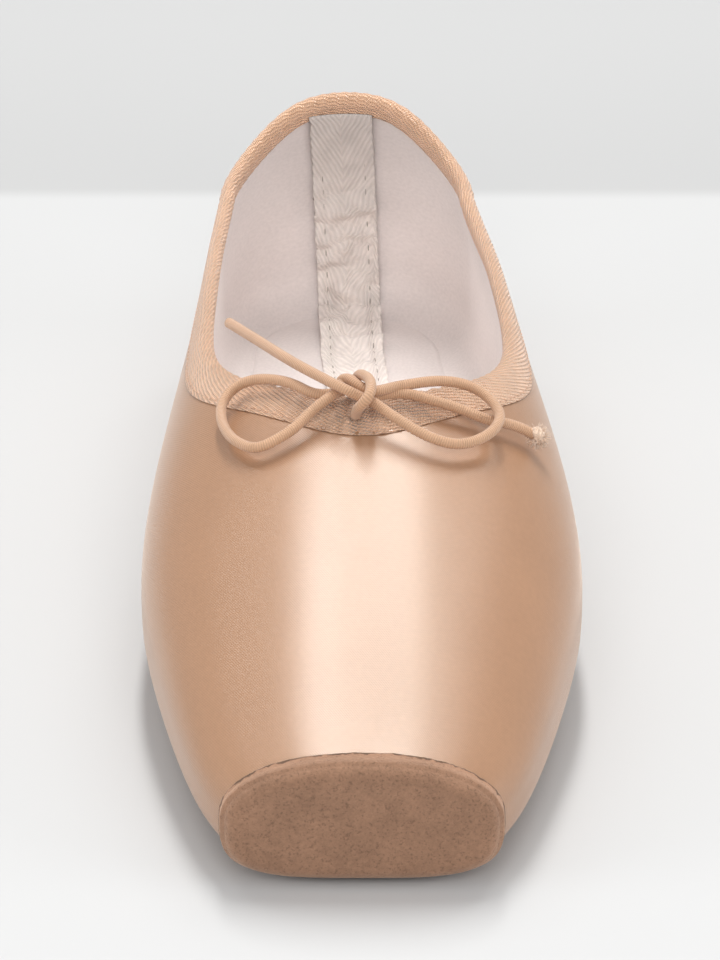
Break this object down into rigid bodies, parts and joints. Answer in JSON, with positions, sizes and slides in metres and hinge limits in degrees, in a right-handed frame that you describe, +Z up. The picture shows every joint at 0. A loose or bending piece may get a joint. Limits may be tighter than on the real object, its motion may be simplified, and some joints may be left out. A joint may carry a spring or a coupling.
{
  "type": "pointe shoe",
  "caption": "Satin pointe shoe with a flat suede-faced platform, stiff toe box, soft heel and a small drawstring bow at the throat.",
  "frame": {"origin": "centre of the shoe's bounding box without the bow, on the surface that the outsole stands on", "axes": "+Y from the toe's platform to the heel, +Z up, +X to the right of someone who faces the platform"},
  "size_m": [0.0819, 0.235, 0.0596],
  "materials": {
    "satin": "satin",
    "suede": "suede",
    "leather": "matte",
    "lining": "matte",
    "binding": "satin",
    "tape": "matte",
    "elastic": "matte"
  },
  "bodies": {
    "root": {"upper": "satin", "outsole": "leather", "insole": "lining", "toe_patch": "suede", "binding": "binding", "heel_tape": "tape", "knot": "elastic", "loop_left": "elastic", "loop_right": "elastic", "end_left": "elastic", "end_right": "elastic", "end_knot": "elastic"}
  },
  "joints": []
}
